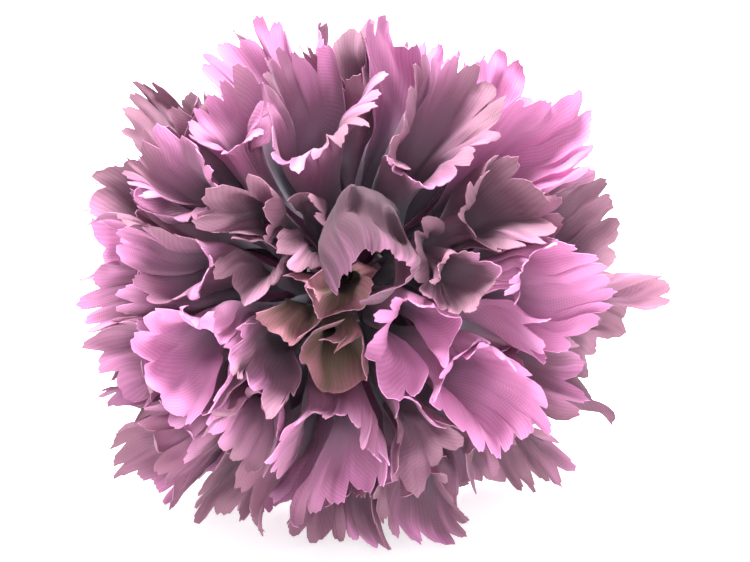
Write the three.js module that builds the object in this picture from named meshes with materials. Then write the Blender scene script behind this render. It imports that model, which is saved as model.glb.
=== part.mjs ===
// A cut carnation of stiffened cloth, lying on its side as it does once it is put down.
// Millimetres, +Z up. The bloom faces -Y and its stem runs back along +Y to the cut end.
// The origin is the middle of the flower's footprint, on the surface that it lies on.
//
// The flower is built upright in its own frame: the bloom's axis is +Z and its core is at the
// origin. One group then leans the whole flower over.
import * as THREE from "three";

const degrees = THREE.MathUtils.degToRad;

// ---- Driving dimensions ----
const CORE_RADIUS = 8; // knob that the petals are glued round
const GLUE_GAP = 0.4; // from the knob, or from any neighbour, to the piece that sits against it
const BLOOM_RADIUS = 50; // from the core's centre to the rim of a full-length petal
const CLOTH = 0.4; // stiffened petal cloth
const PINKING_DEPTH = 4; // how deep the rim is pinked
const AXIS_HEIGHT = 46; // core's centre above the surface
const PRESSED_HEIGHT = 6; // petals nearer to the surface than this are bent flat by it

const CUP_LENGTH = 24; // calyx, from the core's centre to its foot
const CUP_WALL = 1.3;
const CUP_FOOT_RADIUS = 4.6; // outside, where the calyx meets its collar
const SEPALS = 5;
const SEPAL_LENGTH = 5;
const COLLAR_HEIGHT = 7;
const COLLAR_WALL = 1.1;

const STEM_LENGTH = 100; // from the calyx's foot to the cut end
const STEM_RADIUS = 2.4;
const JOINT_RADIUS = 3.5; // swollen joints on the stem
const JOINT_PLACES = [0.3, 0.72]; // of the stem's length, from the calyx
const JOINT_HALF_LENGTH = 3.5;
const WIRE_RADIUS = 0.9;
const WIRE_SHORT_OF_CUT = 1; // the wire stops inside the sleeve's cut end
const WIRE_IN_CORE = 4; // how deep the wire goes into the knob

// ---- How the petals share the bloom ----
const CELL_LIMIT = degrees(17); // widest half-angle that one petal takes
const CELL_SOFTNESS = 8; // how sharply a petal follows its corners, higher is sharper
const SPREAD_LIMIT = degrees(125); // petals spread evenly over the core, which reaches this far
const SPREAD_POWER = 0.75; // round from the axis, and the inner ones are more than evenly spaced
const BEND_AT_CORE = 0.8; // share of that angle at which a petal leaves the core
const BEND_AT_RIM = 1.05; // share of its own angle that it reaches at full length
const BEND_POWER = 1.3; // how late it arches from the one to the other
const CLAW_WRAP = degrees(150); // a petal's wrap where it leaves the core
const COIL = 1.8; // share of its width that a petal closes in by, for each full turn past the first
const LIP = 8; // cloth between the petal's body and its rim
const LIP_FROM = 0.78; // share of the way up at which the lip begins
const LIP_SLOPE = degrees(15); // from straight up, where the lip begins
const SLACK = 0.94; // share of its room that a fully flared petal takes
const STRAIGHT = 0.02; // a lip that rolls by less than this is taken as rolling by this
const CRUMPLE = 2.4; // sway of the cloth, full-grown from half of the bloom's radius
const CRUMPLE_LENGTH = 4.8; // millimetres for a radian of the sway's waves
const COLUMN_WRAP = degrees(34); // of a petal's wrap, for each strip of its cloth
const ROW_PLACES = [0, 0.22, 0.42, 0.6, 0.78, 0.89, 1]; // from the core to the rim

// Each petal: name, angle round the axis (0 is to the right, 90 is up), angle from the axis,
// share of the bloom's radius, half-angle of room it takes, degrees it wraps round its own
// throat, where the middle of that wrap faces (0 is away from the axis), and how far its lip
// rolls over on the outer side and on the side of the axis.
const PETAL_LIST = [
  ["heart_bud", 190, 3, 0.76, 7, 470, 150, 60, 90],
  ["heart_upper", 133, 15.5, 0.82, 8, 300, 200, 30, 60],
  ["heart_olive", 200, 14, 0.78, 8, 300, 150, 20, 60],
  ["heart_low", 262, 15, 0.8, 8, 400, 20, 90, 30],
  ["heart_left", 174, 26, 0.84, 8, 300, 160, 30, 80],
  ["centre_face", 68, 14.5, 1.02, 10, 170, 0, -110, -90],
  ["eye_right", 13, 21, 0.84, 10, 450, -60, 40, 60],
  ["pink_edged", 322, 19, 0.88, 10, 330, 160, 50, 75],
  ["inner_left", 146, 28, 0.88, 8, 400, 190, 20, 70],
  ["long_sweep", 222, 27.5, 0.86, 9, 220, 0, -40, 10],
  ["upper_left_trumpet", 99, 41, 0.98, 15, 330, 130, 15, 80],
  ["upper_right_fold", 58, 42, 0.98, 13, 400, -20, 25, 65],
  ["right_upper_fold", 24, 41, 0.93, 10, 400, 60, 40, 80],
  ["right_trumpet", 352, 47, 1.0, 15, 340, 50, 15, 80],
  ["lower_right_fold", 321, 41, 0.98, 13, 400, -50, 80, 40],
  ["low_gap_petal", 293, 43, 0.88, 10, 420, 150, 40, 80],
  ["bottom_trumpet", 264, 41, 1.0, 14, 335, 145, 10, 70],
  ["bottom_left_fold", 234, 46, 0.94, 10, 420, 90, 40, 70],
  ["left_trumpet", 205, 42, 0.98, 13, 335, -115, 60, 70],
  ["left_fold", 175, 44, 0.92, 10, 400, 165, 30, 90],
  ["left_upper_fold", 150, 46, 0.93, 10, 440, -110, 40, 80],
  ["upper_left_fold", 127, 47, 0.92, 10, 400, 60, 30, 80],
  ["outer_1", 15, 67, 0.96, 11, 400, 0, 30, 50],
  ["outer_2", 35, 64, 1.05, 12, 240, -10, 15, 90],
  ["outer_3", 54, 69, 0.98, 10, 210, 10, 0, 40],
  ["outer_4", 73, 67, 0.96, 12, 230, 10, 0, 40],
  ["outer_5", 91, 69, 0.93, 10, 400, -20, 10, 50],
  ["outer_6", 113, 68, 0.98, 13, 220, 10, 10, 40],
  ["outer_7", 137, 70, 1.0, 11, 400, 30, 20, 50],
  ["outer_8", 158, 69, 0.93, 11, 420, -20, 30, 60],
  ["outer_9", 180, 69, 0.93, 11, 400, 0, 20, 60],
  ["outer_10", 201, 68, 0.92, 11, 410, 20, 10, 60],
  ["outer_11", 222, 69, 1.03, 12, 430, -10, 10, 60],
  ["outer_12", 245, 68, 0.95, 11, 410, 0, 10, 60],
  ["outer_13", 268, 69, 0.96, 11, 400, 20, 10, 50],
  ["outer_14", 291, 68, 0.95, 11, 420, -20, 20, 50],
  ["outer_15", 314, 67, 0.95, 12, 430, 0, 20, 60],
  ["outer_16", 335, 69, 0.87, 11, 400, 10, 20, 60],
  ["rear_1", 357, 90, 0.93, 12, 300, 10, 20, 40],
  ["rear_2", 24, 93, 1.02, 13, 280, -10, 20, 40],
  ["rear_3", 47, 94, 1.0, 12, 240, 10, 10, 40],
  ["rear_4", 65, 92, 0.96, 10, 220, 0, 0, 40],
  ["rear_5", 84, 93, 0.93, 11, 220, -10, 0, 40],
  ["rear_6", 104, 92, 1.0, 12, 280, 10, 10, 40],
  ["rear_7", 126, 93, 0.94, 12, 300, -10, 10, 40],
  ["rear_8", 148, 93, 0.95, 12, 300, 10, 10, 40],
  ["rear_9", 170, 92, 1.05, 12, 300, -10, 10, 40],
  ["rear_10", 193, 93, 0.95, 13, 280, 0, 10, 40],
  ["rear_11", 217, 93, 1.07, 12, 300, 10, 10, 40],
  ["rear_12", 240, 94, 0.98, 12, 300, -10, 10, 40],
  ["rear_13", 262, 93, 0.96, 11, 280, 0, 10, 40],
  ["rear_14", 283, 93, 0.96, 11, 300, 10, 10, 40],
  ["rear_15", 305, 93, 1.03, 12, 300, -10, 10, 40],
  ["rear_16", 329, 93, 0.87, 12, 300, 10, 10, 40],
  ["stray_petal", 345, 108, 1.38, 10, 200, 20, 20, 20],
];

// Petals that bow over their neighbours: by how many degrees, and which way round the axis.
const HOODS = { centre_face: [18, 256] };

// ---- Materials ----
const cloth = (colour) =>
  new THREE.MeshStandardMaterial({ color: colour, roughness: 0.85, metalness: 0, side: THREE.DoubleSide });
const HEART_CLOTH = cloth(0x8d4f5c);
const INNER_CLOTH = cloth(0x8a4c70);
const OUTER_CLOTH = cloth(0xc06aa2);
const GREEN_PLASTIC = new THREE.MeshStandardMaterial({ color: 0x5f8050, roughness: 0.6, metalness: 0 });
const CORE_PLASTIC = new THREE.MeshStandardMaterial({ color: 0x6a3f52, roughness: 0.7, metalness: 0 });
const STEEL = new THREE.MeshStandardMaterial({ color: 0xb4b4b0, roughness: 0.35, metalness: 1 });

// ---- The lean: the head and the cut end both reach the surface ----
const STEM_END = CUP_LENGTH + STEM_LENGTH;
const LEAN = Math.asin(AXIS_HEIGHT / Math.hypot(STEM_END, STEM_RADIUS)) - Math.atan2(STEM_RADIUS, STEM_END);
const UP_IN_FLOWER = new THREE.Vector3(0, Math.cos(LEAN), Math.sin(LEAN)); // the surface's normal

// ---- Petals ----
const petals = PETAL_LIST.map(([name, round, fromAxis, reach, room, wrap, facing, rollOut, rollIn]) => {
  const [a, b] = [degrees(fromAxis), degrees(round)];
  const [bow, bowTo] = HOODS[name] ?? [0, 0];
  return {
    name,
    heading: new THREE.Vector3(Math.sin(a) * Math.cos(b), Math.sin(a) * Math.sin(b), Math.cos(a)),
    outward: new THREE.Vector3(Math.cos(a) * Math.cos(b), Math.cos(a) * Math.sin(b), -Math.sin(a)),
    aside: new THREE.Vector3(-Math.sin(b), Math.cos(b), 0),
    reach: reach * BLOOM_RADIUS,
    room: degrees(room),
    wrap: degrees(wrap),
    facing: degrees(facing),
    rollOut: degrees(rollOut),
    rollIn: degrees(rollIn),
    bow: degrees(bow),
    bowTo: degrees(bowTo - round),
    trumpet: fromAxis < 60,
    coil: COIL * Math.max(0, wrap / 360 - 1),
  };
});

// Angle from a petal's heading to its border with its neighbours, towards the unit vector side.
// A border is the plane that both petals' rooms share, so no two petals claim the same space.
function roomTowards(petal, side) {
  let crowding = CELL_LIMIT ** -CELL_SOFTNESS;
  for (const other of petals) {
    const towards = side.dot(other.heading);
    if (other === petal || towards <= 0) continue;
    const share = Math.cos(other.room) / Math.cos(petal.room) - petal.heading.dot(other.heading);
    crowding += Math.atan2(share, towards) ** -CELL_SOFTNESS;
  }
  return crowding ** (-1 / CELL_SOFTNESS);
}

// A vector at the given angle from petal.outward towards petal.aside, across the petal's heading.
const sideAt = (petal, angle) =>
  petal.outward
    .clone()
    .multiplyScalar(Math.cos(angle))
    .addScaledVector(petal.aside, Math.sin(angle));

// A direction and a distance from the core, arched outwards and swayed. Neither folds space
// over itself, so petals that are apart before it are apart after it.
function arched(direction, distance) {
  const grown = Math.max(0, distance - CORE_RADIUS) / (BLOOM_RADIUS - CORE_RADIUS);
  const own = Math.acos(THREE.MathUtils.clamp(direction.z, -1, 1));
  const atCore = BEND_AT_CORE * SPREAD_LIMIT * (own / SPREAD_LIMIT) ** SPREAD_POWER;
  const polar = THREE.MathUtils.lerp(atCore, BEND_AT_RIM * own, Math.min(1, grown) ** BEND_POWER);
  const round = Math.atan2(direction.y, direction.x);
  const p = new THREE.Vector3().setFromSphericalCoords(distance, polar, 0);
  p.set(p.z * Math.cos(round), p.z * Math.sin(round), p.y); // three.js measures from +Y
  const sway = CRUMPLE * THREE.MathUtils.smoothstep(distance, CORE_RADIUS, BLOOM_RADIUS / 2);
  const [x, y, z] = p.clone().divideScalar(CRUMPLE_LENGTH);
  p.x += sway * (0.6 * Math.sin(y + 1.1) + 0.4 * Math.sin(z * 1.3 - 0.7));
  p.y += sway * (0.6 * Math.sin(z + 2.3) + 0.4 * Math.sin(x * 1.3 + 0.4));
  p.z += sway * (0.6 * Math.sin(x - 0.9) + 0.4 * Math.sin(y * 1.3 + 1.9));
  return p;
}

// A point lifted so that it stays above the surface: cloth that would pass it is bent flat.
function pressed(p) {
  const height = AXIS_HEIGHT + p.dot(UP_IN_FLOWER);
  if (height >= PRESSED_HEIGHT) return p;
  const kept = PRESSED_HEIGHT * Math.exp((height - PRESSED_HEIGHT) / PRESSED_HEIGHT);
  return p.addScaledVector(UP_IN_FLOWER, kept - height);
}

// across runs from -1 to 1 over the petal's width, along from 0 at the core to 1 at the rim. The
// body climbs to the lip, and the lip rolls over, away from the throat.
function petalPoint(petal, across, along, notch = 0) {
  const curl = THREE.MathUtils.lerp(CLAW_WRAP, petal.wrap, Math.min(1, 1.6 * along));
  const turn = petal.facing + (across * curl) / 2;
  const side = sideAt(petal, turn);
  const outerSide = (1 + Math.cos(turn)) / 2;
  const coil = (petal.coil * (across + 1)) / 2;
  const room = roomTowards(petal, side) - (CLOTH + GLUE_GAP) / 2 / petal.reach;

  const start = CORE_RADIUS + GLUE_GAP + CLOTH;
  const shoulder = petal.reach * (0.88 + 0.11 * outerSide - 0.02 * across ** 2 + 0.2 * coil) - LIP / 2;
  const body = Math.min(1, along / LIP_FROM);
  const climb = petal.bow > 0 ? Math.sin((Math.min(1, 1.25 * body) * Math.PI) / 2) : body;
  const waist = petal.trumpet ? 0.6 : 0.8;
  const flare = petal.trumpet ? 0.05 + 0.3 * outerSide : 0.14;
  const fill = 0.9 + (waist - 0.9) * THREE.MathUtils.smoothstep(body, 0, 0.55) + flare * body ** 4;

  const past = (Math.max(0, along - LIP_FROM) / (1 - LIP_FROM)) * (1 - (notch * PINKING_DEPTH) / LIP);
  const fullRoll = THREE.MathUtils.lerp(petal.rollIn, petal.rollOut, outerSide) * (1 - 1.5 * coil);
  const roll = Math.abs(fullRoll) < STRAIGHT ? STRAIGHT : fullRoll;
  const rolled = LIP_SLOPE + roll * past;
  const rise = (LIP * (Math.sin(rolled) - Math.sin(LIP_SLOPE))) / roll;
  const distance = start + (shoulder - start) * climb + rise;
  const width = (LIP * (Math.cos(LIP_SLOPE) - Math.cos(rolled))) / roll / distance;

  const filled = fill + width / room;
  const spread = (SLACK * room * (1 - coil) * filled) / (1 + filled ** 6) ** (1 / 6);
  const direction = petal.heading.clone().addScaledVector(side, Math.tan(spread));
  if (petal.bow > 0) {
    const over = petal.bow * THREE.MathUtils.smoothstep(along, 0.35, 1.1);
    direction.addScaledVector(sideAt(petal, petal.bowTo), Math.tan(over));
  }
  return pressed(arched(direction.normalize(), distance));
}

function petalGrid(petal) {
  const columns = 2 * Math.ceil(petal.wrap / COLUMN_WRAP / 2);
  return ROW_PLACES.map((along) =>
    Array.from({ length: columns + 1 }, (_, column) => {
      const notch = along === 1 && column % 2 === 0 ? 1 : 0;
      return petalPoint(petal, (2 * column) / columns - 1, along, notch);
    }),
  );
}

// A closed sheet of the given thickness about a grid of points.
function sheetGeometry(grid, thickness) {
  const [rows, columns] = [grid.length, grid[0].length];
  const at = (r, c) =>
    grid[THREE.MathUtils.clamp(r, 0, rows - 1)][THREE.MathUtils.clamp(c, 0, columns - 1)];
  const positions = [];
  for (const side of [1, -1])
    for (let r = 0; r < rows; r++)
      for (let c = 0; c < columns; c++) {
        const along = at(r + 1, c).clone().sub(at(r - 1, c));
        const across = at(r, c + 1).clone().sub(at(r, c - 1));
        const normal = across.cross(along).normalize();
        positions.push(...at(r, c).clone().addScaledVector(normal, (side * thickness) / 2));
      }
  const front = (r, c) => r * columns + c;
  const back = (r, c) => rows * columns + front(r, c);
  const faces = [];
  const quad = (a, b, c, d) => faces.push(a, b, c, a, c, d);
  for (let r = 0; r < rows - 1; r++) {
    for (let c = 0; c < columns - 1; c++) {
      quad(front(r, c), front(r, c + 1), front(r + 1, c + 1), front(r + 1, c));
      quad(back(r, c), back(r + 1, c), back(r + 1, c + 1), back(r, c + 1));
    }
    quad(front(r, 0), front(r + 1, 0), back(r + 1, 0), back(r, 0));
    quad(front(r, columns - 1), back(r, columns - 1), back(r + 1, columns - 1), front(r + 1, columns - 1));
  }
  for (let c = 0; c < columns - 1; c++) {
    quad(front(0, c), back(0, c), back(0, c + 1), front(0, c + 1));
    quad(front(rows - 1, c), front(rows - 1, c + 1), back(rows - 1, c + 1), back(rows - 1, c));
  }
  return new THREE.BufferGeometry()
    .setAttribute("position", new THREE.Float32BufferAttribute(positions, 3))
    .setIndex(faces);
}

// ---- Core, calyx and stem, all turned about the bloom's axis ----
// A ring-shaped or solid body: profile(angle) gives the same number of [radius, z] at each angle,
// as a loop that runs up the outside and down the bore.
function turnedGeometry(profile, segments) {
  const positions = [];
  const faces = [];
  const count = profile(0).length;
  for (let s = 0; s < segments; s++) {
    const angle = (2 * Math.PI * s) / segments;
    for (const [radius, z] of profile(angle))
      positions.push(radius * Math.cos(angle), radius * Math.sin(angle), z);
    for (let i = 0; i < count; i++) {
      const [here, next] = [s * count, ((s + 1) % segments) * count];
      const j = (i + 1) % count;
      faces.push(here + i, next + i, next + j, here + i, next + j, here + j);
    }
  }
  return new THREE.BufferGeometry()
    .setAttribute("position", new THREE.Float32BufferAttribute(positions, 3))
    .setIndex(faces);
}

const BORE_RADIUS = WIRE_RADIUS + GLUE_GAP;

// The knob sits in the calyx and has a blind hole for the wire, open at its foot.
function coreGeometry() {
  const profile = [new THREE.Vector2(0, CORE_RADIUS)];
  const steps = 10;
  const foot = Math.PI - Math.asin(BORE_RADIUS / CORE_RADIUS);
  for (let i = 1; i <= steps; i++) {
    const polar = (foot * i) / steps;
    profile.push(new THREE.Vector2(CORE_RADIUS * Math.sin(polar), CORE_RADIUS * Math.cos(polar)));
  }
  const holeTop = -CORE_RADIUS + WIRE_IN_CORE + GLUE_GAP;
  profile.push(new THREE.Vector2(BORE_RADIUS, holeTop), new THREE.Vector2(0, holeTop));
  return new THREE.LatheGeometry(profile.reverse(), 20).rotateX(Math.PI / 2);
}

const CUP_INNER_RADIUS = CORE_RADIUS + GLUE_GAP;
const CUP_RIM_RADIUS = CUP_INNER_RADIUS + CUP_WALL;
const CUP_RIM = -4 - SEPAL_LENGTH; // between the sepals, below the core's centre
const CUP_SHOULDER = -CUP_LENGTH + COLLAR_HEIGHT; // the cup widens evenly from its foot to here
const CUP_SHOULDER_RADIUS = CUP_RIM_RADIUS * 0.82;

// Calyx cup: sepals at the rim, a floor under the knob, and a bore for the wire.
function cupGeometry() {
  const floor = -CORE_RADIUS - GLUE_GAP;
  return turnedGeometry((angle) => {
    const point = Math.abs(((angle * SEPALS) / (2 * Math.PI)) % 1 - 0.5) * 2;
    const tip = CUP_RIM + SEPAL_LENGTH * point ** 1.5;
    const flare = 1.6 * point ** 2;
    return [
      [BORE_RADIUS, -CUP_LENGTH],
      [CUP_FOOT_RADIUS, -CUP_LENGTH],
      [CUP_SHOULDER_RADIUS, CUP_SHOULDER],
      [CUP_RIM_RADIUS * 0.97, -CUP_LENGTH * 0.5],
      [CUP_RIM_RADIUS, CUP_RIM - 1],
      [CUP_RIM_RADIUS + flare, tip],
      [CUP_RIM_RADIUS + flare - CUP_WALL / 2, tip],
      [CUP_INNER_RADIUS, CUP_RIM - 1],
      [CUP_INNER_RADIUS * 0.75, floor],
      [BORE_RADIUS, floor],
    ];
  }, SEPALS * 8);
}

// Collar of four bracts that hugs the calyx's foot, with two long bracts and two short ones.
function collarGeometry() {
  const inner = (z) => {
    const up = (z + CUP_LENGTH) / COLLAR_HEIGHT;
    return THREE.MathUtils.lerp(CUP_FOOT_RADIUS, CUP_SHOULDER_RADIUS, up) + 1.3 * GLUE_GAP;
  };
  return turnedGeometry((angle) => {
    const bract = Math.abs(Math.cos(2 * angle)) ** 0.7;
    const shorter = Math.abs(Math.cos(angle)) > Math.SQRT1_2 ? 1 : 0.72;
    const tip = -CUP_LENGTH + 1 + (COLLAR_HEIGHT - 2) * bract * shorter;
    const foot = -CUP_LENGTH - COLLAR_WALL - GLUE_GAP;
    return [
      [BORE_RADIUS, foot],
      [CUP_FOOT_RADIUS, foot],
      [CUP_FOOT_RADIUS + GLUE_GAP + COLLAR_WALL, -CUP_LENGTH],
      [inner(tip) + COLLAR_WALL, tip],
      [inner(tip) + COLLAR_WALL * 0.3, tip + 0.8],
      [inner(tip), tip],
      [inner(-CUP_LENGTH), -CUP_LENGTH - GLUE_GAP],
      [BORE_RADIUS, -CUP_LENGTH - GLUE_GAP],
    ];
  }, 32);
}

const SLEEVE_TOP = -CUP_LENGTH - COLLAR_WALL - 2 * GLUE_GAP;

// Plastic sleeve over the wire, with swollen joints, cut square at the end.
function sleeveGeometry() {
  const outside = [[STEM_RADIUS, -STEM_END]];
  for (const place of [...JOINT_PLACES].reverse()) {
    const middle = -CUP_LENGTH - place * STEM_LENGTH;
    outside.push(
      [STEM_RADIUS, middle - JOINT_HALF_LENGTH],
      [JOINT_RADIUS, middle - JOINT_HALF_LENGTH * 0.3],
      [JOINT_RADIUS * 0.96, middle + JOINT_HALF_LENGTH * 0.3],
      [STEM_RADIUS, middle + JOINT_HALF_LENGTH],
    );
  }
  outside.push([STEM_RADIUS, SLEEVE_TOP]);
  const profile = [[BORE_RADIUS, -STEM_END], ...outside, [BORE_RADIUS, SLEEVE_TOP]];
  return turnedGeometry(() => profile, 14);
}

function wireGeometry() {
  const top = -CORE_RADIUS + WIRE_IN_CORE;
  const length = STEM_END - WIRE_SHORT_OF_CUT + top;
  return new THREE.CylinderGeometry(WIRE_RADIUS, WIRE_RADIUS, length, 12)
    .rotateX(Math.PI / 2)
    .translate(0, 0, top - length / 2);
}

// ---- Assembly ----
function piece(name, geometry, material) {
  const mesh = new THREE.Mesh(geometry, material);
  mesh.name = name;
  return mesh;
}

const flower = new THREE.Group();
flower.add(
  piece("flower_core", coreGeometry(), CORE_PLASTIC),
  piece("calyx_cup", cupGeometry(), GREEN_PLASTIC),
  piece("bract_collar", collarGeometry(), GREEN_PLASTIC),
  piece("stem_sleeve", sleeveGeometry(), GREEN_PLASTIC),
  piece("stem_wire", wireGeometry(), STEEL),
);
for (const petal of petals) {
  const material = petal.name.startsWith("heart")
    ? HEART_CLOTH
    : /^(outer|rear)/.test(petal.name)
      ? OUTER_CLOTH
      : INNER_CLOTH;
  flower.add(piece("petal_" + petal.name, sheetGeometry(petalGrid(petal), CLOTH), material));
}
flower.rotation.x = Math.PI / 2 - LEAN; // +Z of the flower turns to face -Y, raised by the lean

const carnation = new THREE.Group();
carnation.add(flower);
carnation.updateMatrixWorld(true);
const box = new THREE.Box3().setFromObject(carnation, true);
flower.position.set(-(box.min.x + box.max.x) / 2, -(box.min.y + box.max.y) / 2, -box.min.z);

export default carnation;
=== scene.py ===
"""Cut carnation of stiffened cloth, lying on its side, seen into the bloom.

The flower is worked out upright, in millimetres, with the bloom's axis along +Z and its core at
the origin, as its petals are laid out, and then leant over to where the frame has its core.
"""
import math

import bpy
import numpy as np
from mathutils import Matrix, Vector


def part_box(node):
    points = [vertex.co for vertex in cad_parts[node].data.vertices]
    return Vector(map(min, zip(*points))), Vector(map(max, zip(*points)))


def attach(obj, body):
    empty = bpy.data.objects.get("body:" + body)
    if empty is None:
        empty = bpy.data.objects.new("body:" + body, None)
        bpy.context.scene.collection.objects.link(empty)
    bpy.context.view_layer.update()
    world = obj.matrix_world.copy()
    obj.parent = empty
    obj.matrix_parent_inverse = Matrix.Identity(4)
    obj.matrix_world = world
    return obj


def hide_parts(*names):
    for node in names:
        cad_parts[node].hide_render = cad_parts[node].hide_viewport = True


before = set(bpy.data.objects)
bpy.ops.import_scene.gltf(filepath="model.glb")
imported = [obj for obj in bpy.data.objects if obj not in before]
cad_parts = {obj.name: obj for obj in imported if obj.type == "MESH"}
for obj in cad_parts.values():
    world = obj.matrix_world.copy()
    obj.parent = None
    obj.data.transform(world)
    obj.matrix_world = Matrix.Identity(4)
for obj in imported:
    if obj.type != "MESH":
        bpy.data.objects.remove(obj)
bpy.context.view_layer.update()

MM = 0.001

# ---- Sizes that the petals' layout follows, in millimetres and degrees ----
CORE_RADIUS = 8
GLUE_GAP = 0.4
BLOOM_RADIUS = 50
CLOTH = 0.4
AXIS_HEIGHT = 46
PRESSED_HEIGHT = 6
STEM_END = 124
STEM_RADIUS = 2.4
CELL_LIMIT = math.radians(17)
CELL_SOFTNESS = 8
SPREAD_LIMIT = math.radians(125)
SPREAD_POWER = 0.75
BEND_AT_CORE = 0.8
BEND_AT_RIM = 1.05
BEND_POWER = 1.3
CRUMPLE = 2.4
COIL = 1.8  # share of its throat's width that a petal closes in by, for each full turn past the first
CRUMPLE_LENGTH = 4.8
CLAW_WRAP = math.radians(150)

LEAN = math.asin(AXIS_HEIGHT / math.hypot(STEM_END, STEM_RADIUS)) - math.atan2(STEM_RADIUS, STEM_END)
UP_IN_FLOWER = np.array([0.0, math.cos(LEAN), math.sin(LEAN)])

# ---- What only the finished cloth shows ----
CLOTH_SHOWN = 0.16  # thickness of the woven cloth
COLUMNS_PER_TOOTH = 8
ROWS = 24
TOOTH_WIDTH = 3.2  # along the rim
TOOTH_DEPTH = 4.6
LIP = 8  # cloth between the petal's body and its rim
LIP_FROM = 0.78  # share of the way up at which the lip begins
ROLL_SWING = math.radians(28)  # how much the lip's roll changes from place to place
FAN_SHARE = 0.73  # of its room that a petal's flat fan goes round, fitted to the shaped cloth's area
FOLDS = 0.3  # how far the lengthwise folds draw the cloth in and let it out
HOODS = {"centre_face": (18, 256)}  # petals that bow over: by how many degrees, and which way
HOOD_SHADED_REACH = 0.86  # painted shade: the hood's colours sit as if it ended this far up, so its rim is only half as pink and more of it is dark
ZIGZAG = 0.55  # small points that the cutter leaves on each tooth
POINTS_PER_TOOTH = 4
SLIT_FROM = 0.7  # of the way from a tooth's middle to its side, where the slit beside it begins
SLIT_SHARE = 0.45  # of a tooth's depth that is slit, and the rest is its slope
SMOOTH_RIM = 0.3  # of a tooth's depth, on the heart's petals and the hood
TOOTH_CURL = math.radians(28)  # how far single teeth curl in or out
CALM = 0.3  # of the folds and curls, on the hood
LIP_SLOPE = math.radians(15)  # from straight up, where the lip begins
STRAIGHT = 0.02  # a lip that rolls by less than this is taken as rolling by this
WAIST = 0.6  # of its room, a funnel's narrowest place
PLAIN_WAIST = 0.8  # the same, of a petal that is no funnel
BORDER_SOFTNESS = 8  # how late cloth is turned back at its room's border, higher is later
FINE_RIPPLE = 0.3
EDGE_ANGLE = math.radians(50)  # sharper edges than this stay sharp
WEAVE = 0.36  # from thread to thread
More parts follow.
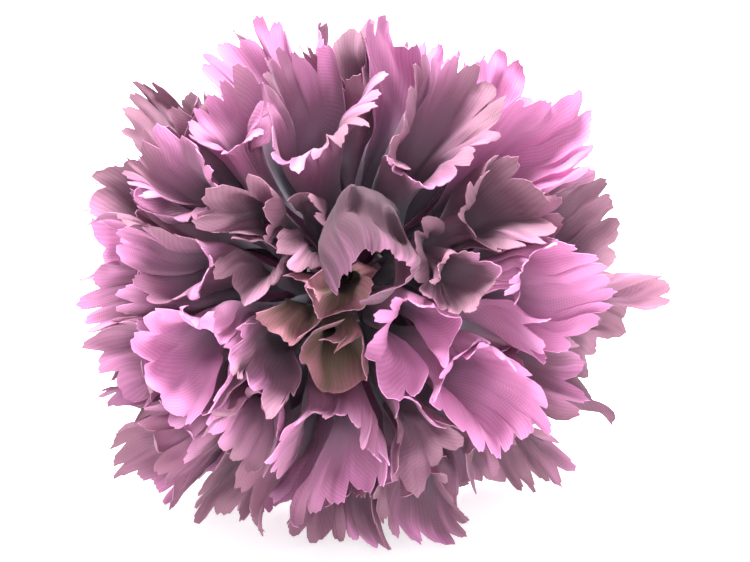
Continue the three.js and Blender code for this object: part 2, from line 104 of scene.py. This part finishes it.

# Each petal: angle round the axis (0 is to the right, 90 is up), angle from the axis, share of the
# bloom's radius, half-angle of room, degrees it wraps round its throat, where the middle of that
# wrap faces (0 is away from the axis), how far the lip rolls over on the outer side and on the side
# of the axis, and how pink it is coloured: its dye, and in part painted light, pinker on the lit petals.
PETALS = {
    "heart_bud": (190, 3, 0.76, 7, 470, 150, 60, 90, 0.0),
    "heart_upper": (133, 15.5, 0.82, 8, 300, 200, 30, 60, 0.2),
    "heart_olive": (200, 14, 0.78, 8, 300, 150, 20, 60, 0.0),
    "heart_low": (262, 15, 0.8, 8, 400, 20, 90, 30, 0.1),
    "heart_left": (174, 26, 0.84, 8, 300, 160, 30, 80, 0.1),
    "centre_face": (68, 14.5, 1.02, 10, 170, 0, -110, -90, 0.1),
    "eye_right": (13, 21, 0.84, 10, 450, -60, 40, 60, 0.1),
    "pink_edged": (322, 19, 0.88, 10, 330, 160, 50, 75, 1.0),
    "inner_left": (146, 28, 0.88, 8, 400, 190, 20, 70, 0.2),
    "long_sweep": (222, 27.5, 0.86, 9, 220, 0, -40, 10, 0.4),
    "upper_left_trumpet": (99, 41, 0.98, 15, 330, 130, 15, 80, 0.5),
    "upper_right_fold": (58, 42, 0.98, 13, 400, -20, 25, 65, 0.4),
    "right_upper_fold": (24, 41, 0.93, 10, 400, 60, 40, 80, 0.2),
    "right_trumpet": (352, 47, 1.0, 15, 340, 50, 15, 80, 1.0),
    "lower_right_fold": (321, 41, 0.98, 13, 400, -50, 80, 40, 1.0),
    "low_gap_petal": (293, 43, 0.88, 10, 420, 150, 40, 80, 0.3),
    "bottom_trumpet": (264, 41, 1.0, 14, 335, 145, 10, 70, 0.6),
    "bottom_left_fold": (234, 46, 0.94, 10, 420, 90, 40, 70, 0.4),
    "left_trumpet": (205, 42, 0.98, 13, 335, -115, 60, 70, 1.0),
    "left_fold": (175, 44, 0.92, 10, 400, 165, 30, 90, 0.5),
    "left_upper_fold": (150, 46, 0.93, 10, 440, -110, 40, 80, 0.5),
    "upper_left_fold": (127, 47, 0.92, 10, 400, 60, 30, 80, 0.75),
    "outer_1": (15, 67, 0.96, 11, 400, 0, 30, 50, 0.2),
    "outer_2": (35, 64, 1.05, 12, 240, -10, 15, 90, 1.0),
    "outer_3": (54, 69, 0.98, 10, 210, 10, 0, 40, 1.0),
    "outer_4": (73, 67, 0.96, 12, 230, 10, 0, 40, 1.0),
    "outer_5": (91, 69, 0.93, 10, 400, -20, 10, 50, 0.2),
    "outer_6": (113, 68, 0.98, 13, 220, 10, 10, 40, 0.9),
    "outer_7": (137, 70, 1.0, 11, 400, 30, 20, 50, 0.2),
    "outer_8": (158, 69, 0.93, 11, 420, -20, 30, 60, 0.1),
    "outer_9": (180, 69, 0.93, 11, 400, 0, 20, 60, 0.5),
    "outer_10": (201, 68, 0.92, 11, 410, 20, 10, 60, 0.5),
    "outer_11": (222, 69, 1.03, 12, 430, -10, 10, 60, 0.4),
    "outer_12": (245, 68, 0.95, 11, 410, 0, 10, 60, 0.2),
    "outer_13": (268, 69, 0.96, 11, 400, 20, 10, 50, 0.3),
    "outer_14": (291, 68, 0.95, 11, 420, -20, 20, 50, 0.3),
    "outer_15": (314, 67, 0.95, 12, 430, 0, 20, 60, 0.1),
    "outer_16": (335, 69, 0.87, 11, 400, 10, 20, 60, 0.3),
    "rear_1": (357, 90, 0.93, 12, 300, 10, 20, 40, 0.3),
    "rear_2": (24, 93, 1.02, 13, 280, -10, 20, 40, 0.4),
    "rear_3": (47, 94, 1.0, 12, 240, 10, 10, 40, 1.0),
    "rear_4": (65, 92, 0.96, 10, 220, 0, 0, 40, 1.0),
    "rear_5": (84, 93, 0.93, 11, 220, -10, 0, 40, 1.0),
    "rear_6": (104, 92, 1.0, 12, 280, 10, 10, 40, 0.5),
    "rear_7": (126, 93, 0.94, 12, 300, -10, 10, 40, 0.7),
    "rear_8": (148, 93, 0.95, 12, 300, 10, 10, 40, 0.3),
    "rear_9": (170, 92, 1.05, 12, 300, -10, 10, 40, 1.0),
    "rear_10": (193, 93, 0.95, 13, 280, 0, 10, 40, 0.6),
    "rear_11": (217, 93, 1.07, 12, 300, 10, 10, 40, 0.3),
    "rear_12": (240, 94, 0.98, 12, 300, -10, 10, 40, 0.5),
    "rear_13": (262, 93, 0.96, 11, 280, 0, 10, 40, 0.8),
    "rear_14": (283, 93, 0.96, 11, 300, 10, 10, 40, 0.5),
    "rear_15": (305, 93, 1.03, 12, 300, -10, 10, 40, 0.4),
    "rear_16": (329, 93, 0.87, 12, 300, 10, 10, 40, 0.4),
    "stray_petal": (345, 108, 1.38, 10, 200, 20, 20, 20, 0.1),
}


# ---- Where things are ----
core_low, core_high = (np.array(corner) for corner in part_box("flower_core"))
CORE_AT = (core_low + core_high) / 2
TO_ROW = np.array([
    [1, 0, 0],
    [0, math.sin(LEAN), -math.cos(LEAN)],
    [0, math.cos(LEAN), math.sin(LEAN)],
])


def in_row(points):
    """Points of the upright flower, in millimetres, as places in the row frame, in metres."""
    return points @ TO_ROW.T * MM + CORE_AT


def smooth(x, low, high):
    t = np.clip((x - low) / (high - low), 0, 1)
    return t * t * (3 - 2 * t)


def unit_axes(round_deg, from_axis_deg):
    """A direction from the core, the direction that leads away from the bloom's axis, and aside."""
    a, b = math.radians(from_axis_deg), math.radians(round_deg)
    heading = np.array([math.sin(a) * math.cos(b), math.sin(a) * math.sin(b), math.cos(a)])
    outward = np.array([math.cos(a) * math.cos(b), math.cos(a) * math.sin(b), -math.sin(a)])
    aside = np.array([-math.sin(b), math.cos(b), 0.0])
    return heading, outward, aside


class Petal:
    def __init__(self, name, turn, polar, reach, room, wrap, facing, roll_out, roll_in, pink):
        self.name = name
        self.heading, self.outward, self.aside = unit_axes(turn, polar)
        self.reach = reach * BLOOM_RADIUS
        self.room = math.radians(room)
        self.wrap = math.radians(wrap)
        self.facing = math.radians(facing)
        self.pink = pink
        self.roll_out = math.radians(roll_out)
        self.roll_in = math.radians(roll_in)
        self.heart = name in ("heart_bud", "heart_olive", "heart_low")
        self.trumpet = polar < 60
        self.bow, bow_to = HOODS.get(name, (0, 0))
        self.bow = math.radians(self.bow)
        self.bow_to = math.radians(bow_to - turn)
        # A petal wrapped right round coils inwards, so that its ends pass each other.
        self.coil = COIL * max(0, self.wrap / (2 * math.pi) - 1)
        self.teeth = max(5, round(0.75 * self.wrap * self.reach * self.room / TOOTH_WIDTH))


petals = [Petal(name, *row) for name, row in PETALS.items()]


def room_towards(petal, side):
    """Angle from a petal's heading to the border of its room, towards each unit vector in side."""
    crowding = np.full(len(side), CELL_LIMIT ** -CELL_SOFTNESS)
    for other in petals:
        if other is petal:
            continue
        towards = side @ other.heading
        share = math.cos(other.room) / math.cos(petal.room) - petal.heading @ other.heading
        near = towards > 0
        crowding[near] += np.arctan2(share, towards[near]) ** -CELL_SOFTNESS
    return crowding ** (-1 / CELL_SOFTNESS)


def cut_fan(petal):
    """Whole angle and outer radius of the fan that a petal is cut to, flat, before its teeth."""
    turns = petal.facing + np.linspace(-0.5, 0.5, 25) * petal.wrap
    sides = np.cos(turns)[:, None] * petal.outward + np.sin(turns)[:, None] * petal.aside
    throat = room_towards(petal, sides).mean() * FAN_SHARE * (1 - petal.coil / 2)
    return petal.wrap * throat, (0.935 + petal.bow) * petal.reach + LIP / 2


def arched(direction, distance):
    """The petals' common arch outwards and sway, the same for all of the bloom."""
    grown = np.maximum(0, distance - CORE_RADIUS) / (BLOOM_RADIUS - CORE_RADIUS)
    own = np.arccos(np.clip(direction[:, 2], -1, 1))
    at_core = BEND_AT_CORE * SPREAD_LIMIT * (own / SPREAD_LIMIT) ** SPREAD_POWER
    polar = at_core + (BEND_AT_RIM * own - at_core) * np.minimum(1, grown) ** BEND_POWER
    turn = np.arctan2(direction[:, 1], direction[:, 0])
    flat = np.sin(polar) * distance
    p = np.stack([flat * np.cos(turn), flat * np.sin(turn), np.cos(polar) * distance], axis=1)
    sway = CRUMPLE * smooth(distance, CORE_RADIUS, BLOOM_RADIUS / 2)
    x, y, z = (p / CRUMPLE_LENGTH).T
    p[:, 0] += sway * (0.6 * np.sin(y + 1.1) + 0.4 * np.sin(z * 1.3 - 0.7))
    p[:, 1] += sway * (0.6 * np.sin(z + 2.3) + 0.4 * np.sin(x * 1.3 + 0.4))
    p[:, 2] += sway * (0.6 * np.sin(x - 0.9) + 0.4 * np.sin(y * 1.3 + 1.9))
    return p


def pressed(p):
    """Cloth that would pass the surface is bent flat over it."""
    height = AXIS_HEIGHT + p @ UP_IN_FLOWER
    kept = PRESSED_HEIGHT * np.exp((height - PRESSED_HEIGHT) / PRESSED_HEIGHT)
    lift = np.where(height < PRESSED_HEIGHT, kept - height, 0)
    return p + lift[:, None] * UP_IN_FLOWER


def petal_shape(petal, across, along, rng):
    """Places of a petal's vertices, and how far up the petal each one is, as cut.

    across is -1 to 1, along is 0 at the core and 1 at the uncut rim.
    """
    calm = CALM if petal.bow else 1
    start = CORE_RADIUS + GLUE_GAP + CLOTH
    lip_scale = LIP / (1 - LIP_FROM)  # millimetres of cloth per unit of along in the lip
    place = (across + 1) / 2 * petal.teeth
    tooth = np.minimum(np.floor(place + 1e-6).astype(int), petal.teeth - 1)
    in_tooth = np.clip(np.abs((place - tooth) * 2 - 1), 0, 1)
    tip = rng.uniform(0.25, 0.75, petal.teeth)[tooth]
    from_tip = np.maximum((tip - place + tooth) / tip, (place - tooth - tip) / (1 - tip))
    size = rng.uniform(0.6, 1.15, petal.teeth + 1)
    slit = size[np.round(place).astype(int)] * smooth(in_tooth, SLIT_FROM, 1.0)
    curl = rng.normal(0, 1, petal.teeth)[tooth]
    points = ZIGZAG * (1 - np.abs((place * POINTS_PER_TOOTH) % 1 * 2 - 1))
    depth = TOOTH_DEPTH * (SMOOTH_RIM if petal.heart or petal.bow else 1)
    cut_back = depth * (SLIT_SHARE * slit + (1 - SLIT_SHARE) * from_tip) + points
    up = along - cut_back / lip_scale * smooth(along, 0.5, 1)
    across = across + 0.05 * np.sin(across * 6 + rng.uniform(0, 6))

    curl_in = np.minimum(1, 1.6 * along)
    turn = petal.facing + across * (CLAW_WRAP + (petal.wrap - CLAW_WRAP) * curl_in) / 2
    side = np.cos(turn)[:, None] * petal.outward + np.sin(turn)[:, None] * petal.aside
    outer_side = (1 + np.cos(turn)) / 2
    room = room_towards(petal, side) - (CLOTH + GLUE_GAP) / 2 / petal.reach

    # The body climbs to the lip, and the lip rolls over away from the throat.
    body = np.minimum(up / LIP_FROM, 1)
    phase = rng.uniform(0, 2 * math.pi, 4)
    rise = 0.04 * np.sin(7 * across + phase[2]) + 0.015 * np.sin(16 * across + phase[3])
    coil = petal.coil * (across + 1) / 2
    reach = petal.reach * (0.88 + 0.11 * outer_side - 0.02 * across ** 2 + rise + 0.2 * coil) - 0.5 * LIP
    climb = np.sin(np.minimum(1, body * 1.25) * math.pi / 2) if petal.bow else body
    distance = start + (reach - start) * climb
    waist = WAIST if petal.trumpet else PLAIN_WAIST
    flare = 0.05 + 0.3 * outer_side if petal.trumpet else 0.14
    fill = 0.9 + (waist - 0.9) * smooth(body, 0, 0.55) + flare * body ** 4
    flutes = rng.integers(3, 5) * petal.wrap / 4
    wave = 0.65 * np.arcsin(0.95 * np.sin(flutes * across + phase[0] + 3 * along))
    wave += 0.35 * np.arcsin(0.95 * np.sin(2.3 * flutes * across + phase[1] - 6 * along))
    flute = 1 + FOLDS * calm * smooth(up, 0.25, 0.8) * wave
    spread = room * fill * flute

    past = np.maximum(0, up - LIP_FROM) * lip_scale
    roll = petal.roll_in + (petal.roll_out - petal.roll_in) * outer_side
    roll = roll + ROLL_SWING * np.sin(3 * across + phase[3])
    roll = roll * (1 - 1.5 * coil) + calm * TOOTH_CURL * curl * smooth(up, LIP_FROM, 1)
    roll = np.where(np.abs(roll) < STRAIGHT, STRAIGHT, roll)
    rolled = LIP_SLOPE + roll * past / LIP
    distance += LIP * (np.sin(rolled) - math.sin(LIP_SLOPE)) / roll
    spread += LIP * (math.cos(LIP_SLOPE) - np.cos(rolled)) / roll / distance
    spread *= 1 - coil

    # The petal leans within its room, and what would leave that room is turned back at its border.
    lean = petal.room * rng.uniform(0.15, 0.45) * calm * smooth(along, 0.35, 1)
    lean_to = rng.uniform(0, 2 * math.pi)
    lean_side = math.cos(lean_to) * petal.outward + math.sin(lean_to) * petal.aside
    aim = np.tan(spread)[:, None] * side + np.tan(lean)[:, None] * lean_side
    length = np.linalg.norm(aim, axis=1)
    side = aim / length[:, None]
    room = room_towards(petal, side) - (CLOTH + GLUE_GAP) / 2 / petal.reach
    filled = np.arctan(length) / room
    spread = room * filled / (1 + filled ** BORDER_SOFTNESS) ** (1 / BORDER_SOFTNESS)
    direction = petal.heading + np.tan(spread)[:, None] * side
    if petal.bow:
        over = petal.bow * smooth(along, 0.35, 1.1)[:, None]
        bow_side = math.cos(petal.bow_to) * petal.outward + math.sin(petal.bow_to) * petal.aside
        direction += np.tan(over) * bow_side
    direction /= np.linalg.norm(direction, axis=1)[:, None]
    p = arched(direction, distance)
    fine = FINE_RIPPLE * smooth(along, 0.1, 0.6)[:, None]
    waves = rng.uniform(0.3, 0.8, (3, 3)) * rng.choice([-1, 1], (3, 3))
    p += fine * np.sin(p @ waves + rng.uniform(0, 6, 3))
    return pressed(p), np.clip(up, 0, 1)


# ---- Shaders ----
class Socket:
    """A shader socket. Sums, differences and products of sockets, and their sines, add their Math nodes.
    """

    def __init__(self, tree, out):
        self.tree, self.out = tree, out

    def add(self, kind, output=0, settings=None, **inputs):
        """Any node: settings first, then values or links for its sockets, by name."""
        return add_node(self.tree, kind, output, settings, **inputs)

    def _math(self, operation, *values):
        inputs = {f"in_{i}": v for i, v in enumerate(values)}
        return self.add("ShaderNodeMath", 0, {"operation": operation}, **inputs)

    def __add__(self, other):
        return self._math("ADD", self, other)

    def __radd__(self, other):
        return self._math("ADD", other, self)

    def __sub__(self, other):
        return self._math("SUBTRACT", self, other)

    def __rsub__(self, other):
        return self._math("SUBTRACT", other, self)

    def __mul__(self, other):
        return self._math("MULTIPLY", self, other)

    def __rmul__(self, other):
        return self._math("MULTIPLY", other, self)

    def sin(self):
        return self._math("SINE", self)

    def ramp(self, low, high):
        """0 below low, 1 above high, and a smooth step between them."""
        return self.add(
            "ShaderNodeMapRange", 0, {"interpolation_type": "SMOOTHSTEP"},
            Value=self, From_Min=low, From_Max=high,
        )


def add_node(tree, kind, output=0, settings=None, **inputs):
    node = tree.nodes.new(kind)
    for key, value in (settings or {}).items():
        setattr(node, key, value)
    for key, value in inputs.items():
        socket = node.inputs[int(key[3:])] if key.startswith("in_") else node.inputs[key.replace("_", " ")]
        if isinstance(value, Socket):
            tree.links.new(value.out, socket)
        else:
            socket.default_value = value
    return Socket(tree, node.outputs[output])


def mix_colour(tree, factor, low, high):
    """Colour from low to high. Sockets in_6 and in_7 are the Mix node's colours."""
    rgba = [c if isinstance(c, Socket) else (*c, 1.0) for c in (low, high)]
    settings = {"data_type": "RGBA"}
    return add_node(tree, "ShaderNodeMix", 2, settings, in_0=factor, in_6=rgba[0], in_7=rgba[1])


def new_material(name):
    material = bpy.data.materials.new(name)
    material.use_nodes = True
    tree = material.node_tree
    tree.nodes.clear()
    return material, tree


def cloth_material(name, throat_shade, body, pink_body, rim, dusty_rim, streak, glow=(0.5, 0.16, 0.34)):
    """Woven polyester, coloured from a painted shade deep in the throat, through the body, to its rim."""
    material, tree = new_material(name)
    along = add_node(tree, "ShaderNodeAttribute", "Fac", {"attribute_name": "along"})
    across = add_node(tree, "ShaderNodeAttribute", "Fac", {"attribute_name": "across"})
    pink = add_node(tree, "ShaderNodeAttribute", "Fac", {"attribute_name": "pink"})
    cut = add_node(tree, "ShaderNodeUVMap", 0, {"uv_map": "cut"})
    fan = add_node(tree, "ShaderNodeCombineXYZ", 0, X=across * 14, Y=along * 1.6, Z=pink * 9)
    streaks = add_node(tree, "ShaderNodeTexNoise", 0, Vector=fan, Scale=1.0, Detail=3.0)
    xy = add_node(tree, "ShaderNodeSeparateXYZ", 0, Vector=cut)
    y = Socket(tree, xy.out.node.outputs[1])
    warp = (xy * (2 * math.pi / WEAVE)).sin()
    weft = (y * (2 * math.pi / WEAVE)).sin()
    weave = warp * 0.25 + weft * 0.25 + 0.5

    # How pink a petal is coloured is its dye and in part painted light: the petals that catch the light
    # are pinker.
    dye_and_light_body = mix_colour(tree, pink * pink, body, pink_body)
    # Painted shade: towards the core the cloth darkens to the throat's colour, where the recesses lie in
    # shade.
    throat = mix_colour(tree, (along + streaks * 0.2).ramp(0.4, 0.98), throat_shade, dye_and_light_body)
    patch_at = add_node(tree, "ShaderNodeCombineXYZ", 0, X=across * 2.6, Y=along * 0.8, Z=pink * 31)
    patches = add_node(tree, "ShaderNodeTexNoise", 0, Vector=patch_at, Scale=1.0, Detail=1.0)
    rim_colour = mix_colour(tree, (pink + (patches - 0.5) * 2.2).ramp(0.15, 0.85), dusty_rim, rim)
    to_rim = (along + (streaks - 0.5) * streak).ramp(0.72, 1.0)
    dye_and_painted_light = mix_colour(tree, to_rim, throat, rim_colour)
    threads = mix_colour(tree, weave, (0.8, 0.8, 0.8), (1.12, 1.12, 1.12))
    colour = add_node(
        tree, "ShaderNodeMix", 2, {"data_type": "RGBA", "blend_type": "MULTIPLY"},
        in_0=1.0, in_6=dye_and_painted_light, in_7=threads,
    )
    bump = add_node(tree, "ShaderNodeBump", 0, Strength=0.35, Distance=0.0001, Height=weave)
    face = add_node(
        tree, "ShaderNodeBsdfPrincipled", 0,
        Base_Color=colour, Roughness=0.78, Normal=bump, Sheen_Weight=0.08, Sheen_Roughness=0.4,
        Specular_IOR_Level=0.25,
    )
    through = add_node(tree, "ShaderNodeBsdfTranslucent", 0, Color=(*glow, 1))
    mixed = add_node(tree, "ShaderNodeMixShader", 0, in_0=0.22, in_1=face, in_2=through)
    output = tree.nodes.new("ShaderNodeOutputMaterial")
    tree.links.new(mixed.out, output.inputs["Surface"])
    return material


def plain_material(name, low, high, roughness, metallic=0.0, scale=300.0, bump=0.2):
    material, tree = new_material(name)
    place = add_node(tree, "ShaderNodeTexCoord", "Object")
    grain = add_node(tree, "ShaderNodeTexNoise", 0, Vector=place, Scale=scale, Detail=4.0)
    relief = add_node(tree, "ShaderNodeBump", 0, Strength=bump, Distance=0.0002, Height=grain)
    shell = add_node(
        tree, "ShaderNodeBsdfPrincipled", 0,
        Base_Color=mix_colour(tree, grain, low, high), Roughness=grain * 0.2 + roughness,
        Metallic=metallic, Normal=relief,
    )
    output = tree.nodes.new("ShaderNodeOutputMaterial")
    tree.links.new(shell.out, output.inputs["Surface"])
    return material


# Painted shade: the slate colour that the cloth darkens to deep in the throat, for the shade in the
# bloom's recesses.
THROAT_SHADE = (0.11, 0.105, 0.13)
MAUVE = (0.15, 0.072, 0.105)
DUSTY = (0.31, 0.145, 0.21)
PINK = (0.8, 0.38, 0.66)
ROSE = (0.36, 0.15, 0.185)
HEART_BODY = (0.17, 0.11, 0.085)
# Painted shade: the hood's body is a darker copy of the mauve cloth.
HOOD_SHADED_BODY = (0.095, 0.043, 0.065)
# Each cloth: name, painted shade deep in the throat, body, body where it is pink, pink rim, dusty rim, and
# how streaky the rim is.
MATERIALS = {
    "inside": cloth_material(
        "mauve_inner_face",
        THROAT_SHADE, MAUVE, (0.56, 0.2, 0.4), (0.68, 0.27, 0.52), (0.3, 0.155, 0.21), 0.5,
    ),
    "outside": cloth_material(
        "pink_outer_face",
        THROAT_SHADE, (0.2, 0.08, 0.13), (0.6, 0.22, 0.42), PINK, DUSTY, 0.4,
    ),
    "heart": cloth_material(
        "dusty_rose_heart",
        # The heart's painted shade deep in the throat comes first.
        (0.1, 0.105, 0.07), HEART_BODY, HEART_BODY, ROSE, ROSE, 0.5,
    ),
    # Painted shade: the hood is a darker copy of the mauve cloth, from its throat to its rims.
    "hood": cloth_material(
        "dark_mauve_hood",
        (0.08, 0.045, 0.062), HOOD_SHADED_BODY, HOOD_SHADED_BODY, (0.6, 0.25, 0.46), (0.3, 0.12, 0.22), 0.4,
    ),
    "edge": cloth_material(
        "cut_edge",
        # The cut edge darkens to the mauve of the body deep in the throat, a painted shade.
        MAUVE, (0.3, 0.14, 0.22), (0.45, 0.18, 0.34), (0.7, 0.3, 0.56), (0.33, 0.15, 0.23), 0.2,
    ),
}
GREEN = plain_material("moulded_green_plastic", (0.03, 0.075, 0.02), (0.055, 0.12, 0.035), 0.45)
CORE = plain_material("moulded_plum_plastic", (0.05, 0.02, 0.03), (0.08, 0.03, 0.05), 0.5)
STEEL = plain_material("drawn_steel_wire", (0.5, 0.5, 0.48), (0.6, 0.6, 0.58), 0.3, metallic=1.0)


# ---- Petals ----
def add_petal(petal, seed):
    bpy.ops.object.select_all(action="DESELECT")
    columns = petal.teeth * COLUMNS_PER_TOOTH
    bpy.ops.mesh.primitive_grid_add(x_subdivisions=columns, y_subdivisions=ROWS, size=2)
    obj = bpy.context.object
    obj.name = "cloth_" + petal.name
    mesh = obj.data
    mesh.name = obj.name
    flat = np.empty(len(mesh.vertices) * 3)
    mesh.vertices.foreach_get("co", flat)
    across, y = flat.reshape(-1, 3)[:, 0], flat.reshape(-1, 3)[:, 1]
    along = 1 - (1 - (y + 1) / 2) ** 1.3
    rng = np.random.default_rng(seed)
    shape, up = petal_shape(petal, across, along, rng)
    mesh.vertices.foreach_set("co", in_row(shape).ravel())

    # Where each vertex sits in the painted shade of the throat, the dye and the rim; drawn in on the hood,
    # a painted shade.
    shade_and_dye_at = HOOD_SHADED_REACH * up if petal.bow else up
    for key, values in (("along", shade_and_dye_at), ("across", across), ("pink", np.full(len(along), petal.pink))):
        attribute = mesh.attributes.new(key, "FLOAT", "POINT")
        attribute.data.foreach_set("value", values.astype(np.float32))
    # The cut cloth laid flat is a fan, so the threads run straight across it.
    fan, fan_radius = cut_fan(petal)
    fan_angle = across * fan / 2
    radius = CORE_RADIUS + up * (fan_radius - CORE_RADIUS)
    cut = np.stack([radius * np.sin(fan_angle), radius * np.cos(fan_angle)], axis=1)
    loops = np.empty(len(mesh.loops), dtype=int)
    mesh.loops.foreach_get("vertex_index", loops)
    mesh.uv_layers.active.name = "cut"
    mesh.uv_layers["cut"].data.foreach_set("uv", cut[loops].ravel().astype(np.float32))
    mesh.update()

    both_faces = "heart" if petal.heart else "hood" if petal.bow else None
    for face in (both_faces or "outside", both_faces or "inside", "edge"):
        mesh.materials.append(MATERIALS[face])
    width = 2 * fan_radius * math.sin(min(fan, math.pi) / 2) * MM
    length = (fan_radius - CORE_RADIUS * math.cos(fan / 2)) * MM
    area = (fan_radius ** 2 - CORE_RADIUS ** 2) * fan / 2 * MM ** 2

    skin = obj.modifiers.new("cloth", "SOLIDIFY")
    skin.thickness = CLOTH_SHOWN * MM
    skin.offset = 0
    skin.material_offset = 1
    skin.material_offset_rim = 2
    bpy.ops.object.modifier_apply(modifier=skin.name)
    bpy.ops.object.shade_smooth_by_angle(angle=EDGE_ANGLE)

    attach(obj, "root")
    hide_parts("petal_" + petal.name)
    return obj


for index, petal in enumerate(petals):
    add_petal(petal, seed=100 + index)

for name, material in (
    ("calyx_cup", GREEN),
    ("bract_collar", GREEN),
    ("stem_sleeve", GREEN),
    ("flower_core", CORE),
    ("stem_wire", STEEL),
):
    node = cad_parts[name]
    node.data.materials.clear()
    node.data.materials.append(material)

# ---- Floor, lights and camera ----
bpy.ops.object.select_all(action="DESELECT")
bpy.ops.mesh.primitive_plane_add(size=6, location=(0, 0, 0))
floor = bpy.context.object
floor.name = "floor"
floor_material, tree = new_material("white_table")
white = add_node(tree, "ShaderNodeBsdfPrincipled", 0, Base_Color=(0.92, 0.92, 0.92, 1), Roughness=0.7,
    Emission_Color=(1, 1, 1, 1), Emission_Strength=0.6)
output = tree.nodes.new("ShaderNodeOutputMaterial")
tree.links.new(white.out, output.inputs["Surface"])
floor.data.materials.append(floor_material)

axis = TO_ROW @ np.array([0, 0, 1.0])
CAMERA_DISTANCE = 0.45
FRAME_WIDTH = 0.1415  # of the picture, at the bloom's middle
aim = Vector(CORE_AT) + Vector((0.0051, 0, 0))
camera_data = bpy.data.cameras.new("camera")
camera = bpy.data.objects.new("camera", camera_data)
bpy.context.collection.objects.link(camera)
camera.location = aim + Vector(axis) * CAMERA_DISTANCE
camera.rotation_euler = (-Vector(axis)).to_track_quat("-Z", "Y").to_euler()
camera_data.sensor_width = 36
camera_data.lens = 36 * CAMERA_DISTANCE / FRAME_WIDTH
camera_data.clip_start = 0.01
bpy.context.scene.camera = camera


def add_area_light(name, place, size, power, target):
    data = bpy.data.lights.new(name, "AREA")
    data.size = size
    data.energy = power
    light = bpy.data.objects.new(name, data)
    bpy.context.collection.objects.link(light)
    light.location = place
    light.rotation_euler = (Vector(target) - Vector(place)).to_track_quat("-Z", "Y").to_euler()


add_area_light("window", (-0.05, 0.05, 0.7), 0.22, 20, CORE_AT)
add_area_light("fill", (0.1, -0.8, 0.35), 0.5, 3, CORE_AT)

world = bpy.data.worlds.new("studio")
world.use_nodes = True
world.node_tree.nodes["Background"].inputs["Color"].default_value = (1, 1, 1, 1)
world.node_tree.nodes["Background"].inputs["Strength"].default_value = 0.9
bpy.context.scene.world = world
bpy.context.scene.view_settings.view_transform = "Standard"
